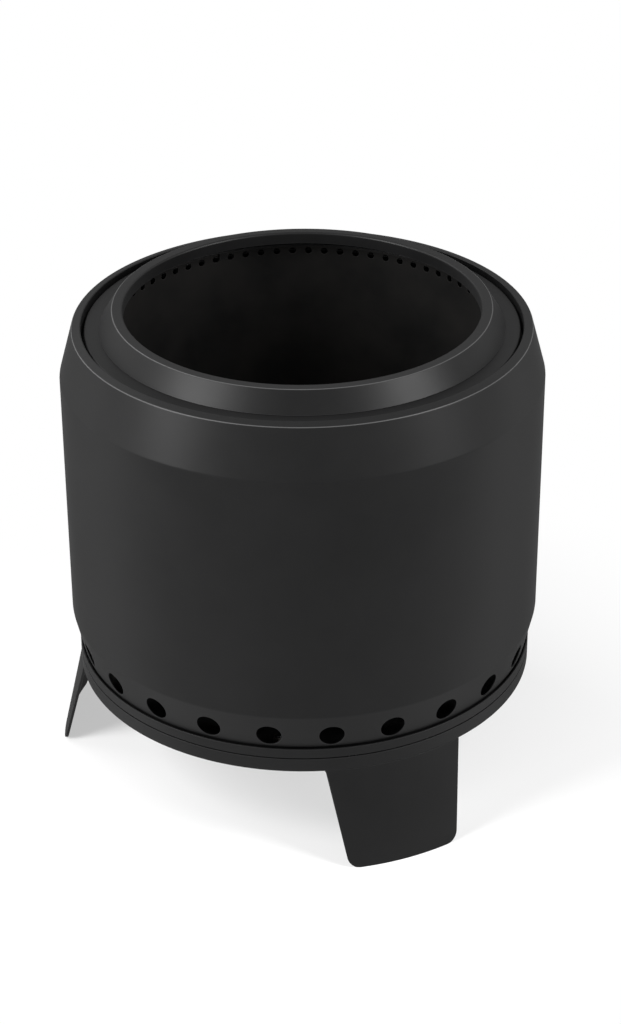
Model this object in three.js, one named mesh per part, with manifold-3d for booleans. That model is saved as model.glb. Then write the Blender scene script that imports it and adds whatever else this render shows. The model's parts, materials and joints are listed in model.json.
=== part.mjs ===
// Smokeless fire pit: a double-walled steel fire bowl on a stand ring with three curved plate legs.
// Millimetres, +Z up, the front leg towards -Y.
// The origin is the middle of the base pan's underside, on the axis of the bowl.

import * as THREE from 'three';
import { mergeVertices } from 'three/addons/utils/BufferGeometryUtils.js';
import Module from 'manifold-3d';

const wasm = await Module();
wasm.setup();

// Gaps and cutters
const seam = 0.3; // between two pieces that touch
const boltPlay = 0.3; // round a shank in its hole
const overrun = 4; // a cutter past the metal that it cuts

// Facets of the round shapes
const turnFacets = 48;
const boltFacets = 8;
const ventFacets = 14;
const inletFacets = 8;
const jetFacets = 6;
const wireFacets = 8;

// Sheet metal
const shellSheet = 1.2; // outer wall, chamber and its floor, flame ring, support ring, ash pan
const baseSheet = 1.5; // base pan and stand ring
const legSheet = 3;
const grateSheet = 3;
const strapSheet = 1.5; // standoffs, ash pan handle, lift ring bracket

// Outer wall: from the pan up, a vent band, a plain cylinder, a shoulder, a sloped rim and a hem
const bodyRadius = 250;
const bandInset = 12; // the vent band's foot inside the cylinder
const bandHeight = 52.1;
const wallHeight = 268.3;
const shoulderInset = 14.2;
const shoulderHeight = 51.8;
const rimWidth = 9.9;
const rimRise = 2.7; // the rim's inner crest above its outer edge
const hemDrop = 34.8; // below the crest
const ventCount = 24;
const ventDiameter = 26;
const ventRise = 26.3; // the vents' centres above the foot of the band
const ventTurn = -1.5; // degrees, of the wall and its vents from the front leg

// Base pan under the outer wall, its middle drawn down inside the clamp flange
const panReach = 5.1; // the pan's edge outside the band's foot
const panRimHeight = 11.5;
const panDraw = 6;
const panDrawGap = 2; // between the draw and the clamp flange

// Stand ring: a channel with a clamp flange on its inner side
const channelDepth = 14.7;
const channelWidth = 19.8;
const clampFlange = 16;

// Legs
const legCount = 3;
const footDrop = 116.5; // the ground below the pan's underside
const legTopWidth = 149.4;
const legFootWidth = 121.5;
const legFlare = 24.8; // the foot outside the top
const legFlangeWidth = 22;
const legCornerReach = 11; // of the rounded lower corners
const legCornerSteps = 5;
const legScrewSpread = 88; // between a leg's two screws

// Fire chamber: a wall flanged out at its top into a deck with a turned-down edge
const deckDrop = 5.3; // the deck below the rim's crest
const deckGap = 2.9; // the groove between the hem and the deck
const deckEdgeDepth = 9.6;
const airGap = 50; // the chamber's wall inside the outer wall
const jetCount = 72;
const jetDiameter = 7.6;
const jetDrop = 6.4; // the jets' centres below the deck

// Chamber floor: a well for the ash pan, a ledge for the grate and a collar inside the wall
const plenumHeight = 52.5; // under the chamber's floor
const wellDepth = 42.8;
const wellInset = 32; // the well inside the chamber's wall
const ledgeWidth = 20;
const collarHeight = 14;
const inletCount = 24;
const inletDiameter = 14;
const inletRise = 22; // the inlets' centres above the floor's underside

// Support ring spot-welded in the hem, under the deck's edge
const supportShelf = 12.2;
const supportDepth = 12;

// Flame ring that lies on the deck
const ringInset = 15.5; // its base inside the deck's edge
const ringHeight = 21.5;
const ringLean = 13.7;
const lipWidth = 11.2;
const skirtDepth = 12.8;
const footOverhang = 1.8; // its foot past the chamber's wall, over the fire
const tabCount = 3;
const tabWidth = 10;
const tabDepth = 8;
const tabPlay = 0.6; // between a tab and the chamber's wall

// Fire grate
const throatPlay = 3; // the grate inside the flame ring's throat
const grateHoleDiameter = 14;
const grateRingCount = 4;
const grateFirstRing = 50; // radius of the innermost ring of holes
const grateRingPitch = 32;
const grateHolePitch = 38; // least distance along a ring between two holes

// Lift ring on the grate, with its bracket
const ringWire = 5;
const ringWidth = 50; // between the middles of its two sides
const ringReach = 36;
const ringArcSteps = 4; // per rounded corner
const ringCorner = 14;
const bracketLength = 24;
const bracketFoot = 11;
const rivetDiameter = 4;
const rivetHeadDiameter = 7.5;
const rivetHeadHeight = 1.8;

// Ash pan and its strap handle
const ashPanGap = 18; // the pan inside the well
const ashPanHeight = 28;
const ashRimWidth = 5;
const handleSpan = 62; // between its two rivets
const handleFoot = 14;
const handleRise = 23;
const handleSlope = 6; // each upright leans in by this
const handleWidth = 16;

// Standoffs between the base pan and the chamber
const standoffCount = 3;
const standoffRadius = 125; // their middles from the axis
const standoffTop = 34;
const standoffLean = 8;
const standoffFoot = 16;
const standoffWidth = 25;

// Screws and nuts
const shankDiameter = 6;
const headDiameter = 11;
const headHeight = 3.5;
const socketFlats = 4;
const socketDepth = 2.2;
const nutFlats = 10;
const nutHeight = 5;
const tipLength = 2; // the shank past its nut
const clampScrewCount = 6;

// Heights that follow
const panFloorTop = baseSheet;
const bandFoot = panDraw + baseSheet + seam;
const bandTop = bandFoot + bandHeight;
const wallTop = bandTop + wallHeight;
const rimTop = wallTop + shoulderHeight;
const crestTop = rimTop + rimRise;
const deckTop = crestTop - deckDrop;
const deckFoot = deckTop - shellSheet;
const supportTop = deckFoot - deckEdgeDepth - seam;
const chamberFoot = panFloorTop + plenumHeight;
const ledgeFoot = chamberFoot + wellDepth;
const ashPanFoot = chamberFoot + shellSheet + seam;
const grateFoot = ledgeFoot + shellSheet + seam;
const grateTop = grateFoot + grateSheet;
const ringFoot = deckTop + seam;
const ringTop = ringFoot + ringHeight;
const channelTop = panDraw - seam;
const channelFoot = channelTop - channelDepth;
const legTop = channelFoot - seam;

// Radii that follow
const bandFootRadius = bodyRadius - bandInset;
const rimRadius = bodyRadius - shoulderInset;
const hemRadius = rimRadius - rimWidth;
const panRadius = bandFootRadius + panReach;
const channelInner = panRadius - channelWidth;
const clampInner = channelInner - clampFlange;
const panMiddleRadius = clampInner - panDrawGap - panDraw;
const clampScrewRadius = channelInner - clampFlange / 2;
const legScrewRadius = panRadius - channelWidth / 2;
const deckRadius = hemRadius - deckGap;
const chamberRadius = bodyRadius - airGap;
const chamberBore = chamberRadius - shellSheet;
const wellRadius = chamberRadius - wellInset;
const ledgeRadius = wellRadius + ledgeWidth;
const collarRadius = chamberBore - seam;
const collarFoot = ledgeFoot + collarRadius - ledgeRadius;
const ringRadius = deckRadius - ringInset;
const lipRadius = ringRadius - ringLean;
const throatRadius = lipRadius - lipWidth;
const grateRadius = throatRadius - throatPlay;
const ashPanRadius = wellRadius - ashPanGap;

// Finishes
const blackCoat = { color: 0x26272a, roughness: 0.45, metalness: 0.25 };
const fireCoat = { color: 0x1b1b1c, roughness: 0.7, metalness: 0.15 };
const stainless = { color: 0x9a9894, roughness: 0.35, metalness: 0.9 };
const blackZinc = { color: 0x1d1e20, roughness: 0.4, metalness: 0.7 };

// A named mesh of one piece
function piece(name, geometry, finish) {
  const mesh = new THREE.Mesh(geometry, new THREE.MeshStandardMaterial(finish));
  mesh.name = name;
  return mesh;
}

// A three.js geometry as a solid that can be cut and joined
function solid(geometry) {
  const bare = geometry.clone();
  bare.deleteAttribute('normal');
  bare.deleteAttribute('uv');
  const merged = mergeVertices(bare);
  return new wasm.Manifold(new wasm.Mesh({
    numProp: 3,
    vertProperties: new Float32Array(merged.attributes.position.array),
    triVerts: new Uint32Array(merged.index.array),
  }));
}

// A solid as a three.js geometry again
function surface(body) {
  const mesh = body.getMesh();
  const geometry = new THREE.BufferGeometry();
  geometry.setAttribute('position', new THREE.BufferAttribute(mesh.vertProperties, mesh.numProp));
  geometry.setIndex(new THREE.BufferAttribute(mesh.triVerts, 1));
  return geometry;
}

// The geometry with every cutter taken out of it
function cut(geometry, cutters) {
  const body = cutters.map(solid).reduce((rest, cutter) => rest.subtract(cutter), solid(geometry));
  return surface(body);
}

// Geometries that overlap, as one solid
function joined(geometries) {
  return surface(geometries.map(solid).reduce((whole, part) => whole.add(part)));
}

// A closed profile of [radius, height] points turned about the Z axis, with a flat towards -Y
function turned(profile, facets = turnFacets) {
  const points = profile.map(([r, z]) => new THREE.Vector2(r, z));
  if (THREE.ShapeUtils.area(points) < 0) points.reverse();
  if (points[0].x > 0) points.push(points[0].clone());
  return new THREE.LatheGeometry(points, facets).rotateX(Math.PI / 2).rotateZ(Math.PI / facets);
}

// The closed outline of a bent sheet: one face as a path, and the thickness on its left side
function sheet(path, thickness) {
  const normals = path.slice(1).map(([x, y], i) => {
    const along = new THREE.Vector2(x - path[i][0], y - path[i][1]).normalize();
    return new THREE.Vector2(-along.y, along.x);
  });
  const back = path.map(([x, y], i) => {
    const before = normals[Math.max(i - 1, 0)];
    const after = normals[Math.min(i, normals.length - 1)];
    const mitre = before.clone().add(after).multiplyScalar(thickness / (1 + before.dot(after)));
    return [x + mitre.x, y + mitre.y];
  });
  return [...path, ...back.reverse()];
}

// The shape inside a closed outline of [x, z] points
function polygon(outline) {
  return new THREE.Shape(outline.map(([x, z]) => new THREE.Vector2(x, z)));
}

// A shape in the X-Z plane made a solid that reaches as far to both sides of it
function plate(shape, depth, curveSegments = 1) {
  const geometry = new THREE.ExtrudeGeometry(shape, { depth, bevelEnabled: false, curveSegments });
  return geometry.translate(0, 0, -depth / 2).rotateX(Math.PI / 2);
}

// A round bar along Z from one height to another
function bar(diameter, from, to, facets = boltFacets) {
  const geometry = new THREE.CylinderGeometry(diameter / 2, diameter / 2, to - from, facets);
  return geometry.rotateX(Math.PI / 2).translate(0, 0, (from + to) / 2);
}

// A cutter for a radial hole: its axis leans below the horizontal by the tilt
function radialBar(diameter, length, facets, radius, height, tilt = 0) {
  const geometry = new THREE.CylinderGeometry(diameter / 2, diameter / 2, length, facets);
  geometry.rotateY(Math.PI / facets);
  return geometry.rotateX(tilt).translate(0, -radius, height);
}

// Copies of a geometry about the Z axis, the first turned by the offset
function around(geometry, count, offset = 0) {
  return Array.from({ length: count }, (_, i) =>
    geometry.clone().rotateZ(offset + (i * 2 * Math.PI) / count));
}

// The places of the screws, as [x, y]
function onCircle(radius, angle) {
  return [radius * Math.sin(angle), -radius * Math.cos(angle)];
}

const legAngles = Array.from({ length: legCount }, (_, i) => (i * 2 * Math.PI) / legCount);
const legScrewAngle = Math.asin(legScrewSpread / 2 / legScrewRadius);
const legScrewPlaces = legAngles.flatMap((angle) =>
  [-1, 1].map((side) => onCircle(legScrewRadius, angle + side * legScrewAngle)));
const clampScrewPlaces = Array.from({ length: clampScrewCount }, (_, i) =>
  onCircle(clampScrewRadius, ((i + 1 / 2) * 2 * Math.PI) / clampScrewCount));

// Cutters for the screw holes through a stack of sheets
function screwHoles(places, from, to) {
  const hole = bar(shankDiameter + 2 * boltPlay, from - overrun, to + overrun);
  return places.map(([x, y]) => hole.clone().translate(x, y, 0));
}

const wallTurn = THREE.MathUtils.degToRad(ventTurn);

function outerWall() {
  const face = [
    [clampInner, bandFoot],
    [bandFootRadius, bandFoot],
    [bodyRadius, bandTop],
    [bodyRadius, wallTop],
    [rimRadius, rimTop],
    [hemRadius, crestTop],
    [hemRadius, crestTop - hemDrop],
  ];
  const ventTilt = Math.atan2(bandInset, bandHeight);
  const ventRadius = bandFootRadius + (bandInset * ventRise) / bandHeight;
  const vent = radialBar(
    ventDiameter, ventDiameter, ventFacets, ventRadius, bandFoot + ventRise, ventTilt);
  return cut(turned(sheet(face, shellSheet)).rotateZ(wallTurn), [
    ...around(vent, ventCount, wallTurn),
    ...screwHoles(clampScrewPlaces, bandFoot, bandFoot + shellSheet),
  ]);
}

function supportRing() {
  const radius = hemRadius - seam;
  return turned(sheet([
    [radius, supportTop - supportDepth],
    [radius, supportTop],
    [radius - supportShelf, supportTop],
  ], shellSheet)).rotateZ(wallTurn);
}

function fireChamber() {
  const face = [
    [chamberRadius, collarFoot],
    [chamberRadius, deckFoot],
    [deckRadius - shellSheet, deckFoot],
    [deckRadius - shellSheet, deckFoot - deckEdgeDepth],
  ];
  const length = shellSheet + 2 * overrun;
  const jet = radialBar(jetDiameter, length, jetFacets, chamberRadius, deckTop - jetDrop);
  return cut(turned(sheet(face, shellSheet), jetCount), around(jet, jetCount));
}

function chamberFloor() {
  const face = [
    [0, chamberFoot],
    [wellRadius, chamberFoot],
    [wellRadius, ledgeFoot],
    [ledgeRadius, ledgeFoot],
    [collarRadius, collarFoot],
    [collarRadius, collarFoot + collarHeight],
  ];
  const length = shellSheet + 2 * overrun;
  const inlet = radialBar(inletDiameter, length, inletFacets, wellRadius, chamberFoot + inletRise);
  return cut(turned(sheet(face, shellSheet), jetCount), around(inlet, inletCount));
}

function flameRing() {
  const footRadius = chamberBore - footOverhang;
  const ring = turned(sheet([
    [footRadius, ringFoot],
    [ringRadius, ringFoot],
    [lipRadius, ringTop],
    [throatRadius, ringTop],
    [throatRadius, ringTop - skirtDepth],
  ], shellSheet));
  const tabThick = footOverhang - tabPlay;
  const tab = new THREE.BoxGeometry(tabWidth, tabThick, tabDepth + shellSheet);
  tab.translate(0, -footRadius - tabThick / 2, ringFoot + (shellSheet - tabDepth) / 2);
  const between = Math.PI / jetCount;
  return joined([ring, ...around(tab, tabCount, Math.PI / tabCount + between)]);
}

function fireGrate() {
  const disc = turned([[0, grateFoot], [grateRadius, grateFoot], [grateRadius, grateTop], [0, grateTop]]);
  const hole = bar(grateHoleDiameter, grateFoot - overrun, grateTop + overrun, inletFacets);
  const rings = Array.from({ length: grateRingCount }, (_, i) => grateFirstRing + i * grateRingPitch);
  const holes = rings.flatMap((radius) => {
    const count = Math.floor((2 * Math.PI * radius) / grateHolePitch);
    return around(hole.clone().translate(0, -radius, 0), count);
  });
  const rivetHole = bar(rivetDiameter + 2 * boltPlay, grateFoot - overrun, grateTop + overrun);
  const rivetHoles = bracketRivetPlaces().map((y) => rivetHole.clone().translate(0, y, 0));
  return cut(disc, [...holes, ...rivetHoles]);
}

// The lift ring's bar lies in the bracket's tunnel
const ringAxisHeight = grateTop + seam + ringWire / 2;

// A D-shaped ring lying forward on the grate, hinged on its straight bar
function liftRing() {
  const half = ringWidth / 2;
  const path = new THREE.CurvePath();
  const at = (x, y) => new THREE.Vector3(x, y, ringAxisHeight);
  const corner = (from, over, to) => path.add(new THREE.QuadraticBezierCurve3(from, over, to));
  path.add(new THREE.LineCurve3(at(-half, 0), at(-half, ringCorner - ringReach)));
  corner(at(-half, ringCorner - ringReach), at(-half, -ringReach), at(ringCorner - half, -ringReach));
  path.add(new THREE.LineCurve3(at(ringCorner - half, -ringReach), at(half - ringCorner, -ringReach)));
  corner(at(half - ringCorner, -ringReach), at(half, -ringReach), at(half, ringCorner - ringReach));
  path.add(new THREE.LineCurve3(at(half, ringCorner - ringReach), at(half, 0)));
  const section = new THREE.Shape();
  section.absarc(0, 0, ringWire / 2, 0, 2 * Math.PI);
  const loop = new THREE.ExtrudeGeometry(section, {
    steps: ringArcSteps * path.curves.length,
    extrudePath: path,
    curveSegments: wireFacets / 2,
  });
  const hingeBar = new THREE.CylinderGeometry(
    ringWire / 2, ringWire / 2, ringWidth + ringWire, wireFacets);
  hingeBar.rotateZ(Math.PI / 2).translate(0, 0, ringAxisHeight);
  return joined([loop, hingeBar]);
}

// A hat-shaped strap over the hinge bar, with the middles of its two feet as rivet places
const tunnelHalf = ringWire / 2 + seam;

function bracketRivetPlaces() {
  const reach = tunnelHalf + strapSheet + bracketFoot / 2;
  return [-reach, reach];
}

function liftBracket() {
  const foot = grateTop + seam;
  const roof = ringAxisHeight + tunnelHalf;
  const outer = tunnelHalf + strapSheet + bracketFoot;
  const strap = plate(polygon(sheet([
    [-outer, foot],
    [-tunnelHalf, foot],
    [-tunnelHalf, roof],
    [tunnelHalf, roof],
    [tunnelHalf, foot],
    [outer, foot],
  ], strapSheet)), bracketLength);
  strap.rotateZ(Math.PI / 2);
  const hole = bar(rivetDiameter + 2 * boltPlay, foot - overrun, foot + strapSheet + overrun);
  return cut(strap, bracketRivetPlaces().map((y) => hole.clone().translate(0, y, 0)));
}

// A rivet with a flush tail: through the sheets below the foot, its head on the strap
function rivet(tail, strapFoot) {
  const under = strapFoot + strapSheet + seam;
  return turned([
    [0, tail],
    [rivetDiameter / 2, tail],
    [rivetDiameter / 2, under],
    [rivetHeadDiameter / 2, under],
    [rivetDiameter / 2, under + rivetHeadHeight],
    [0, under + rivetHeadHeight],
  ], boltFacets);
}

function ashPan() {
  const rim = ashPanFoot + ashPanHeight - shellSheet;
  const pan = turned(sheet([
    [0, ashPanFoot],
    [ashPanRadius, ashPanFoot],
    [ashPanRadius, rim],
    [ashPanRadius + ashRimWidth, rim],
  ], shellSheet));
  const hole = bar(rivetDiameter + 2 * boltPlay, ashPanFoot - overrun, ashPanFoot + overrun);
  const places = [-handleSpan / 2, handleSpan / 2];
  return cut(pan, places.map((x) => hole.clone().translate(x, 0, 0)));
}

const handleFootHeight = ashPanFoot + shellSheet + seam;

function ashPanHandle() {
  const inner = handleSpan / 2 - handleFoot / 2;
  const outer = handleSpan / 2 + handleFoot / 2;
  const roof = handleFootHeight + handleRise - strapSheet;
  const strap = plate(polygon(sheet([
    [-outer, handleFootHeight],
    [-inner, handleFootHeight],
    [handleSlope - inner, roof],
    [inner - handleSlope, roof],
    [inner, handleFootHeight],
    [outer, handleFootHeight],
  ], strapSheet)), handleWidth);
  const hole = bar(rivetDiameter + 2 * boltPlay, handleFootHeight - overrun, handleFootHeight + overrun);
  const places = [-handleSpan / 2, handleSpan / 2];
  return cut(strap, places.map((x) => hole.clone().translate(x, 0, 0)));
}

function basePan() {
  const pan = turned(sheet([
    [0, 0],
    [panMiddleRadius, 0],
    [panMiddleRadius + panDraw, panDraw],
    [panRadius, panDraw],
    [panRadius, panDraw + panRimHeight],
  ], baseSheet));
  return cut(pan, screwHoles(clampScrewPlaces, panDraw, panDraw + baseSheet));
}

function standRing() {
  const ring = turned(sheet([
    [clampInner, channelTop - baseSheet],
    [channelInner, channelTop - baseSheet],
    [channelInner, channelFoot],
    [panRadius, channelFoot],
    [panRadius, channelTop],
  ], baseSheet));
  return cut(ring, [
    ...screwHoles(clampScrewPlaces, channelTop - baseSheet, channelTop),
    ...screwHoles(legScrewPlaces, channelFoot, channelFoot + baseSheet),
  ]);
}

// The front leg: a cone-shaped plate with an inward flange, trimmed to the leg's outline
function leg() {
  const footRadius = panRadius + legFlare;
  const flare = Math.atan2(legFlare, legTop + footDrop);
  const across = legSheet / Math.cos(flare);
  const shell = turned([
    [panRadius, legTop],
    [panRadius - legFlangeWidth, legTop],
    [panRadius - legFlangeWidth, legTop - legSheet],
    [panRadius - across + legSheet * Math.tan(flare), legTop - legSheet],
    [footRadius - across, -footDrop],
    [footRadius, -footDrop],
  ]);
  const top = legTopWidth / 2;
  const foot = legFootWidth / 2;
  const sideLean = ((top - foot) * legCornerReach) / (legTop + footDrop);
  const outline = new THREE.Shape();
  outline.moveTo(-top, legTop + overrun);
  outline.lineTo(-top, legTop);
  outline.lineTo(-foot - sideLean, legCornerReach - footDrop);
  outline.quadraticCurveTo(-foot, -footDrop, legCornerReach - foot, -footDrop);
  outline.lineTo(foot - legCornerReach, -footDrop);
  outline.quadraticCurveTo(foot, -footDrop, foot + sideLean, legCornerReach - footDrop);
  outline.lineTo(top, legTop);
  outline.lineTo(top, legTop + overrun);
  const trim = plate(outline, footRadius + overrun, legCornerSteps);
  trim.translate(0, -(footRadius + overrun) / 2, 0);
  const shaped = surface(solid(shell).intersect(solid(trim)));
  const ownPlaces = [-1, 1].map((side) => onCircle(legScrewRadius, side * legScrewAngle));
  return cut(shaped, screwHoles(ownPlaces, legTop - legSheet, legTop));
}

// A hat-shaped strap on the base pan that carries the chamber floor
function standoff() {
  const foot = panFloorTop + seam;
  const roof = chamberFoot - seam - strapSheet;
  const half = standoffTop / 2;
  const strap = plate(polygon(sheet([
    [-half - standoffLean - standoffFoot, foot],
    [-half - standoffLean, foot],
    [-half, roof],
    [half, roof],
    [half + standoffLean, foot],
    [half + standoffLean + standoffFoot, foot],
  ], strapSheet)), standoffWidth);
  return strap.rotateZ(Math.PI / 2).translate(0, -standoffRadius, 0);
}

// A button-head screw pointing up through a stack, from under the stack to past the nut
function screw(underside, nutTop) {
  const headTop = underside - seam;
  const headFoot = headTop - headHeight;
  const body = turned([
    [0, headFoot],
    [headDiameter / 2 - headHeight / 2, headFoot],
    [headDiameter / 2, headTop - headHeight / 2],
    [headDiameter / 2, headTop],
    [shankDiameter / 2, headTop],
    [shankDiameter / 2, nutTop + tipLength],
    [0, nutTop + tipLength],
  ], boltFacets);
  const hexagon = socketFlats / Math.cos(Math.PI / 6);
  return cut(body, [bar(hexagon, headFoot - overrun, headFoot + socketDepth, 6)]);
}

function nut(foot) {
  const hexagon = bar(nutFlats / Math.cos(Math.PI / 6), foot, foot + nutHeight, 6);
  const bore = bar(
    shankDiameter + 2 * boltPlay, foot - overrun, foot + nutHeight + overrun);
  return cut(hexagon, [bore]);
}

// A screw and its nut at each place, through a stack from its underside to its top
function fastenerSet(name, places, underside, top) {
  const nutFoot = top + seam;
  const group = new THREE.Group();
  places.forEach(([x, y], i) => {
    const one = piece(`${name}_screw_${i + 1}`, screw(underside, nutFoot + nutHeight), blackZinc);
    const two = piece(`${name}_nut_${i + 1}`, nut(nutFoot), stainless);
    one.position.set(x, y, 0);
    two.position.set(x, y, 0);
    group.add(one, two);
  });
  return group;
}

// The stand: ring, legs and the screws that hold the legs
function stand() {
  const group = new THREE.Group();
  group.add(piece('stand_ring', standRing(), blackCoat));
  legAngles.forEach((angle, i) => {
    const mesh = piece(`leg_${i + 1}`, leg(), blackCoat);
    mesh.rotation.z = angle;
    group.add(mesh);
  });
  group.add(fastenerSet('leg', legScrewPlaces, legTop - legSheet, channelFoot + baseSheet));
  return group;
}

// The shell of the bowl: pan, outer wall, support ring and the screws that clamp it to the stand
function shell() {
  const group = new THREE.Group();
  group.add(piece('base_pan', basePan(), blackCoat));
  group.add(piece('outer_wall', outerWall(), blackCoat));
  group.add(piece('support_ring', supportRing(), blackCoat));
  for (let i = 0; i < standoffCount; i += 1) {
    const mesh = piece(`chamber_standoff_${i + 1}`, standoff(), stainless);
    mesh.rotation.z = ((i + 1 / 2) * 2 * Math.PI) / standoffCount;
    group.add(mesh);
  }
  group.add(fastenerSet(
    'clamp', clampScrewPlaces, channelTop - baseSheet, bandFoot + shellSheet));
  return group;
}

// The loose pieces in the fire: the ash pan with its handle, and the grate with its lift ring
function fireGear() {
  const group = new THREE.Group();
  group.add(piece('ash_pan', ashPan(), stainless));
  group.add(piece('ash_pan_handle', ashPanHandle(), stainless));
  [-handleSpan / 2, handleSpan / 2].forEach((x, i) => {
    const mesh = piece(`handle_rivet_${i + 1}`, rivet(ashPanFoot, handleFootHeight), stainless);
    mesh.position.x = x;
    group.add(mesh);
  });
  group.add(piece('fire_grate', fireGrate(), fireCoat));
  group.add(piece('lift_ring_bracket', liftBracket(), fireCoat));
  bracketRivetPlaces().forEach((y, i) => {
    const mesh = piece(`bracket_rivet_${i + 1}`, rivet(grateFoot, grateTop + seam), fireCoat);
    mesh.position.y = y;
    group.add(mesh);
  });
  group.add(piece('lift_ring', liftRing(), fireCoat));
  return group;
}

const firePit = new THREE.Group();
firePit.add(stand(), shell());
firePit.add(piece('fire_chamber', fireChamber(), fireCoat));
firePit.add(piece('chamber_floor', chamberFloor(), fireCoat));
firePit.add(piece('flame_ring', flameRing(), blackCoat));
firePit.add(fireGear());

export default firePit;
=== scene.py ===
import json
import math
from collections import namedtuple

import bmesh
import bpy
from mathutils import Matrix, Vector


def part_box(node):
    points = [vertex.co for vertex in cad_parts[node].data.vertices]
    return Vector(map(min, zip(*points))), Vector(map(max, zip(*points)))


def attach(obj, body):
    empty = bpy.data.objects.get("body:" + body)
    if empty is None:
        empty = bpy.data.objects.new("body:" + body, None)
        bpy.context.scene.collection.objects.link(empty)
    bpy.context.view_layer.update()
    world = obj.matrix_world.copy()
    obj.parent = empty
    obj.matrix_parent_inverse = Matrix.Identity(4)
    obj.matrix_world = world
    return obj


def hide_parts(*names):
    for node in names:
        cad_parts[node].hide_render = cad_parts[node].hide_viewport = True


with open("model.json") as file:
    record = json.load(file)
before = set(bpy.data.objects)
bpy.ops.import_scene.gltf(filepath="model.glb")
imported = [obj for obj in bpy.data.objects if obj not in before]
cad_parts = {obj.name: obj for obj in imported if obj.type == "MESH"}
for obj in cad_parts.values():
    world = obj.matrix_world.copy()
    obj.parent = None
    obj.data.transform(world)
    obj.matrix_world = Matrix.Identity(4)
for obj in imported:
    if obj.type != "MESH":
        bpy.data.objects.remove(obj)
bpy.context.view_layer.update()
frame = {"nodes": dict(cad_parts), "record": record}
record = frame["record"]

# The body and the finish of each CAD node
BODY_OF = {node: body for body, nodes in record["behaviour"]["bodies"].items() for node in nodes}
FINISH_OF = {part["node"]: part["material_slot"] for part in record["subparts"]}

MM = 0.001


def in_mm(*lengths):
    """Lengths that are given in millimetres."""
    return [length * MM for length in lengths]


# Sizes of the pieces. A list of bends has one length for each corner of the piece's outline: how
# far before the corner its rounding starts, or 0 for a sharp corner.

# Sheet metal
SHELL_SHEET = 1.2 * MM
BASE_SHEET = 1.5 * MM
LEG_PLATE = 3 * MM
STRAP_SHEET = 1.5 * MM
CUT_EDGE = 0.25 * MM  # the softened edge of cut sheet
EDGE_ANGLE = math.radians(40)  # an edge that turns by more than this is softened

# Outer wall, from its inner crest down
RIM_RISE = 2.7 * MM
RIM_WIDTH = 9.9 * MM
SHOULDER_HEIGHT = 51.8 * MM
SHOULDER_INSET = 14.2 * MM
BAND_HEIGHT = 52.1 * MM
BAND_INSET = 12 * MM
HEM_DROP = 34.8 * MM
STEP_RISE = 12 * MM  # the band's foot steps inwards below here, just under the vents
STEP_DEPTH = 3 * MM
VENT_COUNT = 24
VENT_DIAMETER = 26 * MM
VENT_MARGIN = 1.1 * MM  # the sheet above and below a vent that belongs to its row of tiles
VENT_RISE = 26.3 * MM  # the vents' centres above the foot of the band
VENT_TURN = math.radians(-1.5)
WALL_BENDS = in_mm(0, 2, 0.8, 0, 1.4, 1.4, 1.2, 2.1, 0)

# Base pan and stand ring
PAN_DRAW = 6 * MM
PAN_DRAW_GAP = 2 * MM
PAN_CORNER = 1.4 * MM  # the chamfer under the pan's upright rim
PAN_BENDS = in_mm(0, 2, 2, 0, 0, 0)
CHANNEL_WIDTH = 19.8 * MM
CLAMP_FLANGE = 16 * MM
STAND_BENDS = in_mm(0, 1, 2.4, 0, 0)

# Legs
LEG_COUNT = 3
LEG_FOOT_WIDTH = 121.5 * MM
LEG_FLANGE = 22 * MM
LEG_CORNER = 11 * MM
LEG_EDGE = 0.5 * MM
LEG_SWEEP = math.radians(20)  # half of the angle that a leg's profile is spun through
FOOT_HEIGHT = 0.3 * MM  # whatever of a leg ends below this height is put on the floor

# Fire chamber and its floor
AIR_GAP = 50 * MM
DECK_EDGE = 9.6 * MM
CHAMBER_BENDS = in_mm(0, 0.5, 0.8, 0)
JET_COUNT = 72
JET_DIAMETER = 7.6 * MM
JET_DROP = 6.4 * MM
JET_ROW_HEIGHT = 8.9 * MM
WELL_INSET = 32 * MM
LEDGE_WIDTH = 20 * MM
WELL_DEPTH = 42.8 * MM
FLOOR_BENDS = in_mm(0, 3, 1.5, 1.4, 1.4, 0)
INLET_COUNT = 24
INLET_DIAMETER = 14 * MM
INLET_RISE = 22 * MM
INLET_ROW_HEIGHT = 26 * MM

# Support ring
SUPPORT_SHELF = 12.2 * MM
SUPPORT_BENDS = in_mm(0, 2, 0)

# Flame ring
SEAM = 0.3 * MM  # between the ring and the deck, and round a screw in its nut
RING_LEAN = 13.7 * MM
LIP_WIDTH = 11.2 * MM
SKIRT_DEPTH = 12.8 * MM
FOOT_OVERHANG = 1.8 * MM
FLAME_RING_BENDS = in_mm(0, 0, 1.2, 2.4, 0)
TAB_COUNT = 3
TAB_WIDTH = 10 * MM
TAB_THICK = 1.2 * MM

# Fire grate, lift ring and bracket
GRATE_HOLE = 14 * MM
GRATE_RINGS = 4
GRATE_FIRST_RING = 50 * MM
GRATE_RING_PITCH = 32 * MM
GRATE_HOLE_PITCH = 38 * MM
GRATE_EDGE = 0.4 * MM
RING_WIRE = 5 * MM
RING_CORNER = 14 * MM
RING_HINGE_CORNER = 4 * MM
BRACKET_FOOT = 11 * MM
BRACKET_BENDS = in_mm(0, 0, 0.9, 0.9, 0, 0)

# Ash pan and handle
ASH_RIM = 5 * MM
ASH_PAN_BENDS = in_mm(0, 4, 1, 0)
HANDLE_FOOT = 14 * MM
HANDLE_SLOPE = 6 * MM
HANDLE_BENDS = in_mm(0, 1.5, 3, 3, 1.5, 0)

# Standoffs
STANDOFF_COUNT = 3
STANDOFF_WIDTH = 25 * MM
STANDOFF_TOP = 34 * MM
STANDOFF_LEAN = 8 * MM
STANDOFF_FOOT = 16 * MM
STANDOFF_BENDS = in_mm(0, 1.2, 2, 2, 1.2, 0)

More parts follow.
